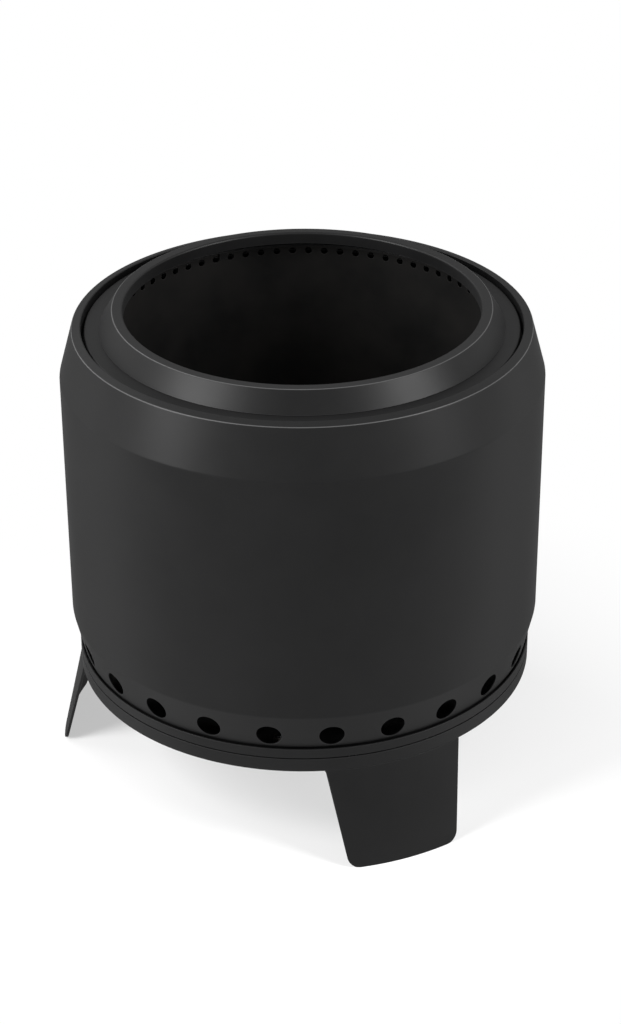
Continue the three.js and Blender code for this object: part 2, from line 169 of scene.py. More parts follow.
# Screws
SCREW_COUNT = 6  # of each kind, and as many nuts
SHANK = 6 * MM
SHANK_CHAMFER = 0.6 * MM
HEAD_RADIUS = 5.5 * MM
HEAD_HEIGHT = 3.5 * MM
SCREW_BENDS = in_mm(0, 1, 0.8, 0, 0, 0, 0, 0)
SCREW_EDGE = 0.15 * MM
SCREW_EDGE_ANGLE = math.radians(35)
SOCKET_FLATS = 4 * MM
SOCKET_DEPTH = 2.2 * MM

# Nuts
NUT_FLATS = 10 * MM
NUT_CHAMFER = 0.5 * MM
NUT_FACE_SHARE = 0.96  # the round end face, as a share of the width across flats
NUT_LENS_MARGIN = 0.1 * MM
NUT_EDGE_ANGLE = math.radians(30)  # an edge that turns by more than this is shaded sharp

# Rivets
RIVET_COUNT = 2  # of each kind
RIVET = 4 * MM
RIVET_HEAD_RADIUS = 3.75 * MM
RIVET_HEAD_HEIGHT = 1.8 * MM
RIVET_CROWN_SHARE = 0.62  # where the crown of the dome starts, as a share of the head's radius
RIVET_CROWN_RISE = 0.25 * MM
RIVET_BENDS = in_mm(0, 0, 0, 0.3, 1.2, 0)
RIVET_EDGE = 0.1 * MM

# Smoothness: the steps of each rounding
BEND_STEPS = 5
TURN_STEPS = 192
TILE_SIDE = 8  # along one side of a tile with a hole
JET_TILE_SIDE = 4
TILE_CUTS = 2
LEG_STEPS = 28
LEG_CORNER_STEPS = 8
LEG_FIRST_STEP = 2  # the corner's first step would lie too near the foot
HEXAGON = 6
BOLT_STEPS = 32
NUT_LENS_STEPS = 48
GRATE_STEPS = 144
WIRE_SIDES = 16
WIRE_BEND_STEPS = 8

# Mending: corners nearer than this are joined, in sheets, in solids, and after a cut
JOIN = 0.01 * MM
FINE_JOIN = 0.001 * MM
SLIVER = 0.02 * MM
FLAT_ANGLE = math.radians(0.5)  # faces that meet at less than this become one after a cut


# Places from the frame

def foot(node):
    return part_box(node)[0].z


def top(node):
    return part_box(node)[1].z


def reach(node):
    """The radius of a turned node, at the corners of its facets."""
    return max(vert.co.xy.length for vert in frame["nodes"][node].data.vertices)


def middle(node):
    low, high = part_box(node)
    return (low + high) / 2


GROUND = foot("leg_1")


def add_object(name, data):
    """A new object in the scene."""
    obj = bpy.data.objects.new(name, data)
    bpy.context.scene.collection.objects.link(obj)
    return obj


def new_object(name, bm):
    """The bmesh as an object in the scene."""
    mesh = bpy.data.meshes.new(name)
    bm.to_mesh(mesh)
    bm.free()
    return add_object(name, mesh)


# Shader nodes

def add_node(nodes, kind, operation=None, **values):
    """A shader node with its operation and input values. In a label, _ stands for a space."""
    node = nodes.new(f"ShaderNode{kind}")
    if operation:
        node.operation = operation
    for label, value in values.items():
        node.inputs[label.replace("_", " ")].default_value = value
    return node


def seen_directly(nodes):
    """1 for what the camera sees, also by reflection or through glass."""
    links = nodes.id_data.links
    path = add_node(nodes, "LightPath")
    seen = add_node(nodes, "Math", "MAXIMUM")
    either = add_node(nodes, "Math", "MAXIMUM")
    links.new(path.outputs["Is Camera Ray"], seen.inputs[0])
    links.new(path.outputs["Is Glossy Ray"], seen.inputs[1])
    links.new(seen.outputs[0], either.inputs[0])
    links.new(path.outputs["Is Transmission Ray"], either.inputs[1])
    return either.outputs[0]


def axis_distance(nodes, place):
    """How far a place is from the Z axis."""
    links = nodes.id_data.links
    flat = add_node(nodes, "VectorMath", "MULTIPLY")
    flat.inputs[1].default_value = (1, 1, 0)
    length = add_node(nodes, "VectorMath", "LENGTH")
    links.new(place, flat.inputs[0])
    links.new(flat.outputs["Vector"], length.inputs[0])
    return length.outputs["Value"]


def shader_group(name, inputs, outputs):
    """An empty node group with float or vector inputs and outputs, and its two end nodes."""
    tree = bpy.data.node_groups.new(name, "ShaderNodeTree")
    for label, kind, value in inputs:
        socket = tree.interface.new_socket(label, in_out="INPUT", socket_type=kind)
        if value is not None:
            socket.default_value = value
    for label in outputs:
        tree.interface.new_socket(label, in_out="OUTPUT", socket_type="NodeSocketFloat")
    return tree, tree.nodes.new("NodeGroupInput"), tree.nodes.new("NodeGroupOutput")


def place_group(nodes, tree, place=None, **values):
    """A node group in a material, with the place that its patterns follow."""
    group = add_node(nodes, "Group")
    group.node_tree = tree
    for label, value in values.items():
        group.inputs[label.replace("_", " ")].default_value = value
    if place is not None:
        nodes.id_data.links.new(place, group.inputs["Vector"])
    return group


NOISE_LOW, NOISE_HIGH = 0.3, 0.7  # most of a noise lies between these


def spread(nodes, value, low, high, at_low=NOISE_LOW, at_high=NOISE_HIGH):
    """Maps a noise or a mask to a range of values."""
    node = add_node(
        nodes, "MapRange", From_Min=at_low, From_Max=at_high, To_Min=low, To_Max=high)
    nodes.id_data.links.new(value, node.inputs["Value"])
    return node.outputs["Result"]


def weaker(nodes, mask, share):
    """A mask from 0 to 1, as a share of itself."""
    return spread(nodes, mask, 0, share, 0, 1)


def blend_colour(nodes, share, first, second):
    """A colour between two, each a tuple or a socket."""
    links = nodes.id_data.links
    mix = add_node(nodes, "Mix")
    mix.data_type = "RGBA"
    links.new(share, mix.inputs["Factor"])
    for label, colour in (("A", first), ("B", second)):
        socket = next(s for s in mix.inputs if s.name == label and s.type == "RGBA")
        if isinstance(colour, tuple):
            socket.default_value = (*colour, 1)
        else:
            links.new(colour, socket)
    return next(s for s in mix.outputs if s.type == "RGBA")


def bump(nodes, height, distance):
    node = add_node(nodes, "Bump", Distance=distance, Strength=1)
    nodes.id_data.links.new(height, node.inputs["Height"])
    return node.outputs["Normal"]


# Camera, floor, light

CAMERA_PLACE = Vector((-0.9229, -2.1893, 1.4971))
CAMERA_PITCH = math.radians(29.449)
CAMERA_HEADING = math.radians(-23.036)
CAMERA_ROLL = math.radians(-0.328)
FOCAL_PIXELS = 2564
PHOTO_HEIGHT = 1024
SENSOR_LENGTH = 36

LAMP_AIM = Vector((0, 0, 0.2))
LAMP_DISTANCE = 2.6
# Each lamp's name, azimuth and elevation in degrees, width and height in metres, and watts.
# Azimuth 0 is on the -Y side, and 90 is on the +X side.
SOFTBOXES = [
    ("left_box", -84, 27, 1.0, 2.2, 118),
    ("right_box", 40, 31, 0.9, 2.1, 88),
    ("back_box", -140, 40, 1.6, 1.4, 24),
]

SKY_LEVEL = 0.25  # how strongly the white surroundings light the pit; the camera sees them at 1

FLOOR_HALF = 20
FLOOR_COLOUR = (0.82, 0.82, 0.82, 1)
SHADOW_PALENESS = 0.5  # how far the shadow is drawn towards white beside the pit
SHADOW_REACH = 0.25  # the floor shows its shading up to here from the middle
WHITE_REACH = 0.6  # and is the white background from here on


def make_camera():
    data = bpy.data.cameras.new("camera")
    data.sensor_width = SENSOR_LENGTH
    data.lens = FOCAL_PIXELS / PHOTO_HEIGHT * SENSOR_LENGTH
    camera = add_object("camera", data)
    heading = Matrix.Rotation(CAMERA_HEADING, 4, "Z")
    tilt = Matrix.Rotation(math.pi / 2 - CAMERA_PITCH, 4, "X")
    roll = Matrix.Rotation(CAMERA_ROLL, 4, "Z")
    camera.matrix_world = Matrix.Translation(CAMERA_PLACE) @ heading @ tilt @ roll
    bpy.context.scene.camera = camera


def softbox(name, azimuth, elevation, width, height, power):
    """A rectangular lamp that faces the pit."""
    data = bpy.data.lights.new(name, "AREA")
    data.shape = "RECTANGLE"
    data.size = width
    data.size_y = height
    data.energy = power
    lamp = add_object(name, data)
    a, e = math.radians(azimuth), math.radians(elevation)
    away = Vector((math.sin(a) * math.cos(e), -math.cos(a) * math.cos(e), math.sin(e)))
    turn = away.to_track_quat("Z", "Y").to_matrix().to_4x4()
    lamp.matrix_world = Matrix.Translation(LAMP_AIM + away * LAMP_DISTANCE) @ turn


def make_world():
    """White surroundings that give less light than they show."""
    world = bpy.data.worlds.new("studio")
    bpy.context.scene.world = world
    world.use_nodes = True
    nodes = world.node_tree.nodes
    links = world.node_tree.links
    background = nodes["Background"]
    background.inputs["Color"].default_value = (1, 1, 1, 1)
    level = add_node(nodes, "MapRange", To_Min=SKY_LEVEL, To_Max=1)
    links.new(seen_directly(nodes), level.inputs["Value"])
    links.new(level.outputs["Result"], background.inputs["Strength"])


def make_floor():
    """A matt floor that fades into the white background away from the pit."""
    bm = bmesh.new()
    bmesh.ops.create_grid(bm, x_segments=1, y_segments=1, size=FLOOR_HALF)
    bmesh.ops.translate(bm, verts=bm.verts[:], vec=(0, 0, GROUND))
    floor = new_object("floor", bm)
    material = bpy.data.materials.new("pale_floor")
    material.use_nodes = True
    nodes = material.node_tree.nodes
    links = material.node_tree.links
    nodes.clear()
    output = add_node(nodes, "OutputMaterial")
    matt = add_node(nodes, "BsdfDiffuse", Color=FLOOR_COLOUR)
    white = add_node(nodes, "Emission")
    blend = add_node(nodes, "MixShader")
    coordinates = add_node(nodes, "TexCoord")
    fade = add_node(
        nodes, "MapRange", From_Min=SHADOW_REACH, From_Max=WHITE_REACH, To_Min=SHADOW_PALENESS)
    fade.interpolation_type = "SMOOTHSTEP"
    share = add_node(nodes, "Math", "MULTIPLY")
    links.new(axis_distance(nodes, coordinates.outputs["Object"]), fade.inputs["Value"])
    links.new(fade.outputs["Result"], share.inputs[0])
    links.new(seen_directly(nodes), share.inputs[1])
    links.new(share.outputs[0], blend.inputs["Fac"])
    links.new(matt.outputs[0], blend.inputs[1])
    links.new(white.outputs[0], blend.inputs[2])
    links.new(blend.outputs[0], output.inputs["Surface"])
    floor.data.materials.append(material)


# Finishes

def make_coat_skin():
    """The skin of a baked powder: fine peel as a height, slow clouds and small specks as masks."""
    tree, source, result = shader_group(
        "coat_skin",
        [
            ("Vector", "NodeSocketVector", None),
            ("Peel Scale", "NodeSocketFloat", 900.0),
            ("Cloud Scale", "NodeSocketFloat", 9.0),
            ("Speck Scale", "NodeSocketFloat", 1600.0),
        ],
        ["Height", "Clouds", "Specks"],
    )
    links = tree.links
    peel = add_node(tree.nodes, "TexNoise", Detail=3, Roughness=0.55)
    clouds = add_node(tree.nodes, "TexNoise", Detail=6, Roughness=0.6)
    specks = add_node(tree.nodes, "TexVoronoi")
    # A speck is the middle of a cell
    picked = add_node(tree.nodes, "MapRange", From_Min=0.22, From_Max=0.08)
    for texture, scale in ((peel, "Peel Scale"), (clouds, "Cloud Scale"), (specks, "Speck Scale")):
        links.new(source.outputs["Vector"], texture.inputs["Vector"])
        links.new(source.outputs[scale], texture.inputs["Scale"])
    links.new(specks.outputs["Distance"], picked.inputs["Value"])
    links.new(peel.outputs["Fac"], result.inputs["Height"])
    links.new(clouds.outputs["Fac"], result.inputs["Clouds"])
    links.new(picked.outputs["Result"], result.inputs["Specks"])
    return tree


def make_edge_rub():
    """A mask of edges and corners: where a rounded normal differs from the real one."""
    tree, source, result = shader_group(
        "edge_rub", [("Reach", "NodeSocketFloat", 1.2 * MM)], ["Mask"])
    links = tree.links
    rounded = add_node(tree.nodes, "Bevel")
    rounded.samples = 6
    surface = add_node(tree.nodes, "NewGeometry")
    likeness = add_node(tree.nodes, "VectorMath", "DOT_PRODUCT")
    # Where the two normals differ by 6 degrees the rub starts, and by 26 degrees it is full
    mask = add_node(tree.nodes, "MapRange", From_Min=0.995, From_Max=0.9)
    links.new(source.outputs["Reach"], rounded.inputs["Radius"])
    links.new(rounded.outputs["Normal"], likeness.inputs[0])
    links.new(surface.outputs["Normal"], likeness.inputs[1])
    links.new(likeness.outputs["Value"], mask.inputs["Value"])
    links.new(mask.outputs["Result"], result.inputs["Mask"])
    return tree


def make_turning_grain():
    """The fine rings that spinning or brushing leaves round the Z axis, as a height and a mask."""
    tree, source, result = shader_group(
        "turning_grain",
        [
            ("Vector", "NodeSocketVector", None),
            ("Ring Scale", "NodeSocketFloat", 2400.0),
            ("Arc Scale", "NodeSocketFloat", 6.0),
        ],
        ["Rings", "Smears"],
    )
    nodes, links = tree.nodes, tree.links
    place = source.outputs["Vector"]
    split = add_node(nodes, "SeparateXYZ")
    angle = add_node(nodes, "Math", "ARCTAN2")
    wound = add_node(nodes, "CombineXYZ")
    grain = add_node(nodes, "TexNoise", Scale=1, Detail=3)
    smears = add_node(nodes, "TexNoise", Scale=14, Detail=4)
    links.new(place, split.inputs[0])
    links.new(split.outputs["Y"], angle.inputs[0])
    links.new(split.outputs["X"], angle.inputs[1])
    wound_from = (
        ("X", axis_distance(nodes, place), "Ring Scale"),
        ("Y", angle.outputs[0], "Arc Scale"),
        ("Z", split.outputs["Z"], "Ring Scale"),
    )
    for axis, value, scale in wound_from:
        scaled = add_node(nodes, "Math", "MULTIPLY")
        links.new(value, scaled.inputs[0])
        links.new(source.outputs[scale], scaled.inputs[1])
        links.new(scaled.outputs[0], wound.inputs[axis])
    links.new(wound.outputs[0], grain.inputs["Vector"])
    links.new(place, smears.inputs["Vector"])
    links.new(grain.outputs["Fac"], result.inputs["Rings"])
    links.new(smears.outputs["Fac"], result.inputs["Smears"])
    return tree


COAT_SKIN = make_coat_skin()
EDGE_RUB = make_edge_rub()
TURNING_GRAIN = make_turning_grain()

EDGE_WEAR = 0.6  # how far an edge turns to its rubbed colour
STEEL_EDGE_WEAR = 0.7
STRAW_SHARE = 0.8  # how far the hot steel's smears turn to straw
SPECK_SHARE = 0.35
GRAZING_ROUGHNESS = 0.8
PAINTED_HIGHLIGHT_BEND = "painted_highlight_bend"  # an attribute: 1 on the bends that are painted pale grey as a highlight
PAINTED_HIGHLIGHT_SHARE = 0.45  # how much of a bend carries the painted highlight


def blank_material(name):
    """A material, its nodes, its Principled BSDF, and Object coordinates."""
    material = bpy.data.materials.new(name)
    material.use_nodes = True
    nodes = material.node_tree.nodes
    coordinates = add_node(nodes, "TexCoord")
    return material, nodes, nodes["Principled BSDF"], coordinates.outputs["Object"]


def finish_shader(shader, colour, roughness, normal):
    """Joins a finish's colour, roughness and relief to its shader."""
    links = shader.id_data.links
    links.new(colour, shader.inputs["Base Color"])
    links.new(roughness, shader.inputs["Roughness"])
    links.new(normal, shader.inputs["Normal"])


def grazing_rough(nodes, rough):
    """A coat's roughness, which rises where the surface turns away from the eye."""
    links = nodes.id_data.links
    facing = add_node(nodes, "LayerWeight", Blend=0.5)
    turned_away = add_node(nodes, "MapRange", From_Min=0.3, From_Max=0.85)
    turned_away.interpolation_type = "SMOOTHSTEP"
    mix = add_node(nodes, "Mix", B=GRAZING_ROUGHNESS)
    links.new(facing.outputs["Facing"], turned_away.inputs["Value"])
    links.new(turned_away.outputs["Result"], mix.inputs["Factor"])
    links.new(rough, mix.inputs["A"])
    return mix.outputs["Result"]


def black_coat():
    """Satin black powder coat: fine peel, slow clouds in its gloss, paler along edges, and a
    painted highlight on the marked bends.
    """
    material, nodes, shader, place = blank_material("satin_black_powder")
    skin = place_group(nodes, COAT_SKIN, place)
    rub = place_group(nodes, EDGE_RUB)
    clouds = skin.outputs["Clouds"]
    deep, worn, edge = (0.0042, 0.0042, 0.0043), (0.0060, 0.0060, 0.0061), (0.022, 0.022, 0.0225)
    # The pale grey of the painted highlight on the marked bends
    highlight_colour = (0.06, 0.06, 0.06)
    roughness, relief = (0.37, 0.44), 0.03 * MM
    base = blend_colour(nodes, spread(nodes, clouds, 0, 1), deep, worn)
    specked = blend_colour(nodes, weaker(nodes, skin.outputs["Specks"], SPECK_SHARE), base, edge)
    edged = blend_colour(nodes, weaker(nodes, rub.outputs["Mask"], EDGE_WEAR), specked, edge)
    # Painted highlight: the marked bends are painted pale grey where the lamps would glint
    highlight_mark = add_node(nodes, "Attribute")
    highlight_mark.attribute_name = PAINTED_HIGHLIGHT_BEND
    finish_shader(
        shader,
        blend_colour(nodes, highlight_mark.outputs["Fac"], edged, highlight_colour),
        grazing_rough(nodes, spread(nodes, clouds, *roughness)),
        bump(nodes, skin.outputs["Height"], relief))
    shader.inputs["Specular IOR Level"].default_value = 0.14
    return material


def fire_coat():
    """Matt heat-proof black: rougher, with a faint brown-grey bloom where the fire reaches."""
    material, nodes, shader, place = blank_material("matt_heat_black")
    skin = place_group(nodes, COAT_SKIN, place, Peel_Scale=1300.0, Cloud_Scale=16.0)
    rub = place_group(nodes, EDGE_RUB)
    clouds = skin.outputs["Clouds"]
    soot, bloom, edge = (0.0028, 0.0028, 0.0028), (0.0066, 0.0061, 0.0057), (0.02, 0.0195, 0.019)
    roughness, relief = (0.55, 0.75), 0.02 * MM
    base = blend_colour(nodes, spread(nodes, clouds, 0, 1), soot, bloom)
    finish_shader(
        shader,
        blend_colour(nodes, weaker(nodes, rub.outputs["Mask"], EDGE_WEAR), base, edge),
        grazing_rough(nodes, spread(nodes, clouds, *roughness)),
        bump(nodes, skin.outputs["Height"], relief))
    shader.inputs["Specular IOR Level"].default_value = 0.09
    return material


def stainless():
    """Brushed stainless: fine rings, smears, and a straw tint where it has been hot."""
    material, nodes, shader, place = blank_material("brushed_stainless")
    grain = place_group(nodes, TURNING_GRAIN, place)
    rub = place_group(nodes, EDGE_RUB)
    rings = grain.outputs["Rings"]
    clean, straw, edge = (0.40, 0.39, 0.38), (0.33, 0.29, 0.235), (0.56, 0.55, 0.54)
    roughness, relief = (0.26, 0.42), 0.004 * MM
    smears = spread(nodes, grain.outputs["Smears"], 0, STRAW_SHARE)
    base = blend_colour(nodes, smears, clean, straw)
    finish_shader(
        shader,
        blend_colour(nodes, weaker(nodes, rub.outputs["Mask"], STEEL_EDGE_WEAR), base, edge),
        spread(nodes, rings, *roughness),
        bump(nodes, rings, relief))
    shader.inputs["Metallic"].default_value = 1
    return material


def black_zinc():
    """Black zinc plate on screws: dark metal with a faint rainbow-grey cloud."""
    material, nodes, shader, place = blank_material("black_zinc_plate")
    skin = place_group(nodes, COAT_SKIN, place, Peel_Scale=2500.0, Cloud_Scale=220.0)
    rub = place_group(nodes, EDGE_RUB, Reach=0.5 * MM)
    clouds = skin.outputs["Clouds"]
    dark, grey, edge = (0.020, 0.0205, 0.023), (0.036, 0.0365, 0.039), (0.09, 0.09, 0.092)
    roughness, relief = (0.32, 0.46), 0.004 * MM
    base = blend_colour(nodes, spread(nodes, clouds, 0, 1), dark, grey)
    finish_shader(
        shader,
        blend_colour(nodes, weaker(nodes, rub.outputs["Mask"], EDGE_WEAR), base, edge),
        spread(nodes, clouds, *roughness),
        bump(nodes, skin.outputs["Height"], relief))
    shader.inputs["Metallic"].default_value = 1
    return material


FINISHES = {
    "black_coat": black_coat(),
    "fire_coat": fire_coat(),
    "stainless": stainless(),
    "black_zinc": black_zinc(),
}


# Ways of making a piece

def bake_modifiers(obj):
    """The object's mesh becomes what its modifiers make of it."""
    evaluated = obj.evaluated_get(bpy.context.evaluated_depsgraph_get())
    mesh = bpy.data.meshes.new_from_object(evaluated)
    obj.modifiers.clear()
    obj.data = mesh


def thicken(obj, thickness):
    """Gives sheet its thickness, on the left of its outline's way."""
    wall = obj.modifiers.new("thickness", "SOLIDIFY")
    wall.thickness = thickness
    wall.offset = -1
    wall.use_even_offset = True


def soften(obj, width=CUT_EDGE, angle=EDGE_ANGLE):
    """Rounds the sharp edges a little and keeps the large faces flat in their shading."""
    obj.data.shade_smooth()
    edge = obj.modifiers.new("soft_edges", "BEVEL")
    edge.width = width
    edge.segments = 2
    edge.limit_method = "ANGLE"
    edge.angle_limit = angle
    weight = obj.modifiers.new("even_shading", "WEIGHTED_NORMAL")
    weight.keep_sharp = True


def dress(obj, node):
    """The piece takes the node's finish, moves with its body and stands for it."""
    obj.data.materials.clear()
    obj.data.materials.append(FINISHES[FINISH_OF[node]])
    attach(obj, BODY_OF[node])
    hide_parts(node)


def turn_verts(bm, verts, angle):
    """Turns vertices round the Z axis."""
    bmesh.ops.rotate(bm, cent=(0, 0, 0), matrix=Matrix.Rotation(angle, 3, "Z"), verts=verts)


def prism(bm, sides, radius, depth, centre):
    """Adds a closed prism, upright round its centre, and returns its vertices."""
    verts = bmesh.ops.create_cone(
        bm, cap_ends=True, segments=sides, radius1=radius, radius2=radius, depth=depth)["verts"]
    bmesh.ops.translate(bm, verts=verts, vec=centre)
    return verts


def verts_of(geometry):
    return [item for item in geometry if isinstance(item, bmesh.types.BMVert)]


def edges_of(geometry):
    return [item for item in geometry if isinstance(item, bmesh.types.BMEdge)]


def bent_wire(bm, points, bends):
    """A wire through (radius, height) points, with its corners rounded by the bends."""
    verts = [bm.verts.new((r, 0, z)) for r, z in points]
    for pair in zip(verts, verts[1:]):
        bm.edges.new(pair)
    for vert, bend in zip(verts, bends):
        if bend:
            bmesh.ops.bevel(
                bm, geom=[vert], offset=bend, offset_type="OFFSET", segments=BEND_STEPS,
                profile=0.5, affect="VERTICES", material=-1)


def spin_all(bm, steps):
    """Spins everything in the bmesh round the Z axis."""
    bmesh.ops.spin(
        bm, geom=bm.verts[:] + bm.edges[:], cent=(0, 0, 0), axis=(0, 0, 1),
        angle=2 * math.pi, steps=steps, use_merge=True)


def face_right(bm, points):
    """Turns the faces of an open spun sheet towards the right-hand side of its first stretch."""
    bmesh.ops.recalc_face_normals(bm, faces=bm.faces[:])
    (r0, z0), (r1, z1) = points[:2]
    centre = Vector(((r0 + r1) / 2, (z0 + z1) / 2))
    right = Vector((z1 - z0, r0 - r1))

    def profile_place(face):
        place = face.calc_center_median()
        return Vector((place.xy.length, place.z))

    face = min(bm.faces, key=lambda f: (profile_place(f) - centre).length)
    out = face.calc_center_median().xy.normalized()
    normal = Vector((face.normal.xy.dot(out), face.normal.z))
    if normal.dot(right) < 0:
        bmesh.ops.reverse_faces(bm, faces=bm.faces[:])


def between(start, end, distance):
    """The point at that distance from start on the way to end."""
    share = distance / math.dist(start, end)
    return tuple(a + (b - a) * share for a, b in zip(start, end))


# A row of round holes along one stretch of an outline: the index of the stretch, the place of the
# row's centre on it, the row's height, the number and diameter of the holes, and the steps along
# one side of a hole's tile
HoleRow = namedtuple("HoleRow", "stretch centre height count diameter side")


def hole_tiles(bm, start, end, row):
    """A ring of sheet between two circles with a round hole in the middle of each of its tiles."""
    tile = bmesh.new()
    width = 2 * math.pi / row.count * (start[0] + end[0]) / 2
    height = math.dist(start, end)
    bmesh.ops.create_grid(tile, x_segments=row.side, y_segments=row.side, size=0.5)
    inside = [v for v in tile.verts if not v.is_boundary]
    bmesh.ops.delete(tile, geom=inside, context="VERTS")
    bmesh.ops.scale(tile, vec=(width, height, 1), verts=tile.verts[:])
    bmesh.ops.create_circle(tile, segments=4 * row.side, radius=row.diameter / 2)
    bmesh.ops.bridge_loops(tile, edges=tile.edges[:])
    spokes = [e for e in tile.edges if not e.is_boundary]
    bmesh.ops.subdivide_edges(tile, edges=spokes, cuts=TILE_CUTS)
    for vert in tile.verts:
        angle = vert.co.x / width * 2 * math.pi / row.count
        radius, level = between(start, end, vert.co.y + height / 2)
        vert.co = (radius * math.sin(angle), -radius * math.cos(angle), level)
    bmesh.ops.spin(
        tile, geom=tile.verts[:] + tile.edges[:] + tile.faces[:], cent=(0, 0, 0), axis=(0, 0, 1),
        angle=2 * math.pi * (row.count - 1) / row.count, steps=row.count - 1, use_duplicate=True)
    joint = bpy.data.meshes.new("tiles")
    tile.to_mesh(joint)
    tile.free()
    bm.from_mesh(joint)
    bpy.data.meshes.remove(joint)


def turned_sheet(node, points, bends, thickness, row=None, turn=0.0):
    """Bent sheet turned about the Z axis, its thickness on the left of the outline's way."""
    bm = bmesh.new()
    if row is None:
        bent_wire(bm, points, bends)
        spin_all(bm, TURN_STEPS)
    else:
        before, after = points[row.stretch], points[row.stretch + 1]
        start = between(before, after, row.centre - row.height / 2)
        end = between(before, after, row.centre + row.height / 2)
        bent_wire(bm, [*points[:row.stretch + 1], start], [*bends[:row.stretch + 1], 0])
        bent_wire(bm, [end, *points[row.stretch + 1:]], [0, *bends[row.stretch + 1:]])
        spin_all(bm, row.count * row.side)
        hole_tiles(bm, start, end, row)
    bmesh.ops.remove_doubles(bm, verts=bm.verts[:], dist=JOIN)
    face_right(bm, points)
    turn_verts(bm, bm.verts[:], turn)
    obj = new_object(f"{node}_sheet", bm)
    thicken(obj, thickness)
    return obj


def mark_painted_highlight(obj, points, bends, corner):
    """Marks the middle of the turned bend at a corner of the outline for a painted highlight."""
    near = PAINTED_HIGHLIGHT_SHARE * bends[points.index(corner)]
    marks = obj.data.attributes.new(PAINTED_HIGHLIGHT_BEND, "FLOAT", "POINT")
    for vert, mark in zip(obj.data.vertices, marks.data):
        if math.dist((vert.co.xy.length, vert.co.z), corner) < near:
            mark.value = 1


def turned_solid(name, points, bends, steps=BOLT_STEPS):
    """A closed solid from an outline that starts and ends on the Z axis."""
    bm = bmesh.new()
    bent_wire(bm, points, bends)
    spin_all(bm, steps)
    bmesh.ops.remove_doubles(bm, verts=bm.verts[:], dist=FINE_JOIN)
    bmesh.ops.recalc_face_normals(bm, faces=bm.faces[:])
    return new_object(name, bm)


def strap(node, points, bends, width, turn, centre):
    """A bent strap: the outline lies in the X-Z plane, and is turned and moved to its place."""
    bm = bmesh.new()
    bent_wire(bm, points, bends)
    bmesh.ops.translate(bm, verts=bm.verts[:], vec=(0, -width / 2, 0))
    side = bmesh.ops.extrude_edge_only(bm, edges=bm.edges[:])
    bmesh.ops.translate(bm, verts=verts_of(side["geom"]), vec=(0, width, 0))
    bmesh.ops.recalc_face_normals(bm, faces=bm.faces[:])
    first = min(bm.faces, key=lambda f: f.calc_center_median().x)
    if first.normal.z > 0:
        bmesh.ops.reverse_faces(bm, faces=bm.faces[:])
    bmesh.ops.transform(
        bm, matrix=Matrix.Translation(centre) @ Matrix.Rotation(turn, 4, "Z"), verts=bm.verts[:])
    obj = new_object(f"{node}_strap", bm)
    thicken(obj, STRAP_SHEET)
    return obj


def merge_slivers(obj):
    """Joins the near corners and the flat slivers that a cut leaves behind."""
    bm = bmesh.new()
    bm.from_mesh(obj.data)
    bmesh.ops.remove_doubles(bm, verts=bm.verts[:], dist=SLIVER)
    bmesh.ops.dissolve_degenerate(bm, edges=bm.edges[:], dist=SLIVER)
    bmesh.ops.dissolve_limit(
        bm, angle_limit=FLAT_ANGLE, verts=bm.verts[:], edges=bm.edges[:])
    bm.to_mesh(obj.data)
    bm.free()


def boolean(obj, cutter, operation):
    """Cuts or trims the object by another, which is then removed."""
    step = obj.modifiers.new("cut", "BOOLEAN")
    step.operation = operation
    step.object = cutter
    step.solver = "EXACT"
    bake_modifiers(obj)
    merge_slivers(obj)
    bpy.data.objects.remove(cutter)


def copy_to(template, node, name):
    """A copy of the template, moved in its mesh from the Z axis to the node's place."""
    mesh = template.data.copy()
    mesh.transform(Matrix.Translation((middle(node).x, middle(node).y, 0)))
    return add_object(name, mesh)


# The bowl

def outer_wall():
    crest = top("outer_wall")
    foot_level = foot("outer_wall")
    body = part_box("outer_wall")[1].y
    rim = body - SHOULDER_INSET
    hem = rim - RIM_WIDTH
    clamp_inner = reach("stand_ring") - CHANNEL_WIDTH - CLAMP_FLANGE
    band_foot = (body - BAND_INSET, foot_level)
    band_top = (body, foot_level + BAND_HEIGHT)
    step = between(band_foot, band_top, STEP_RISE)
    rim_edge = (rim, crest - RIM_RISE)
    points = [
        (clamp_inner, foot_level),
        (body - BAND_INSET - STEP_DEPTH / 2, foot_level),
        (step[0] - STEP_DEPTH, step[1] - STEP_DEPTH / 2),
        step,
        band_top,
        (body, crest - RIM_RISE - SHOULDER_HEIGHT),
        rim_edge,
        (hem, crest),
        (hem, crest - HEM_DROP),
    ]
    vents = HoleRow(
        stretch=points.index(step),
        centre=VENT_RISE / BAND_HEIGHT * math.dist(band_foot, band_top) - STEP_RISE,
        height=VENT_DIAMETER + 2 * VENT_MARGIN,
        count=VENT_COUNT,
        diameter=VENT_DIAMETER,
        side=TILE_SIDE)
    obj = turned_sheet("outer_wall", points, WALL_BENDS, SHELL_SHEET, vents, VENT_TURN)
    # The rim's outer bend gets a painted highlight
    mark_painted_highlight(obj, points, WALL_BENDS, rim_edge)
    soften(obj)
    dress(obj, "outer_wall")


def support_ring():
    level = top("support_ring")
    radius = reach("support_ring")
    points = [(radius, foot("support_ring")), (radius, level), (radius - SUPPORT_SHELF, level)]
    obj = turned_sheet("support_ring", points, SUPPORT_BENDS, SHELL_SHEET)
    soften(obj)
    dress(obj, "support_ring")


def base_pan():
    pan = reach("base_pan")
    draw = pan - CHANNEL_WIDTH - CLAMP_FLANGE - PAN_DRAW_GAP
    points = [
        (0, 0),
        (draw - PAN_DRAW, 0),
        (draw, PAN_DRAW),
        (pan - PAN_CORNER, PAN_DRAW),
        (pan, PAN_DRAW + PAN_CORNER),
        (pan, top("base_pan")),
    ]
    obj = turned_sheet("base_pan", points, PAN_BENDS, BASE_SHEET)
    soften(obj)
    dress(obj, "base_pan")


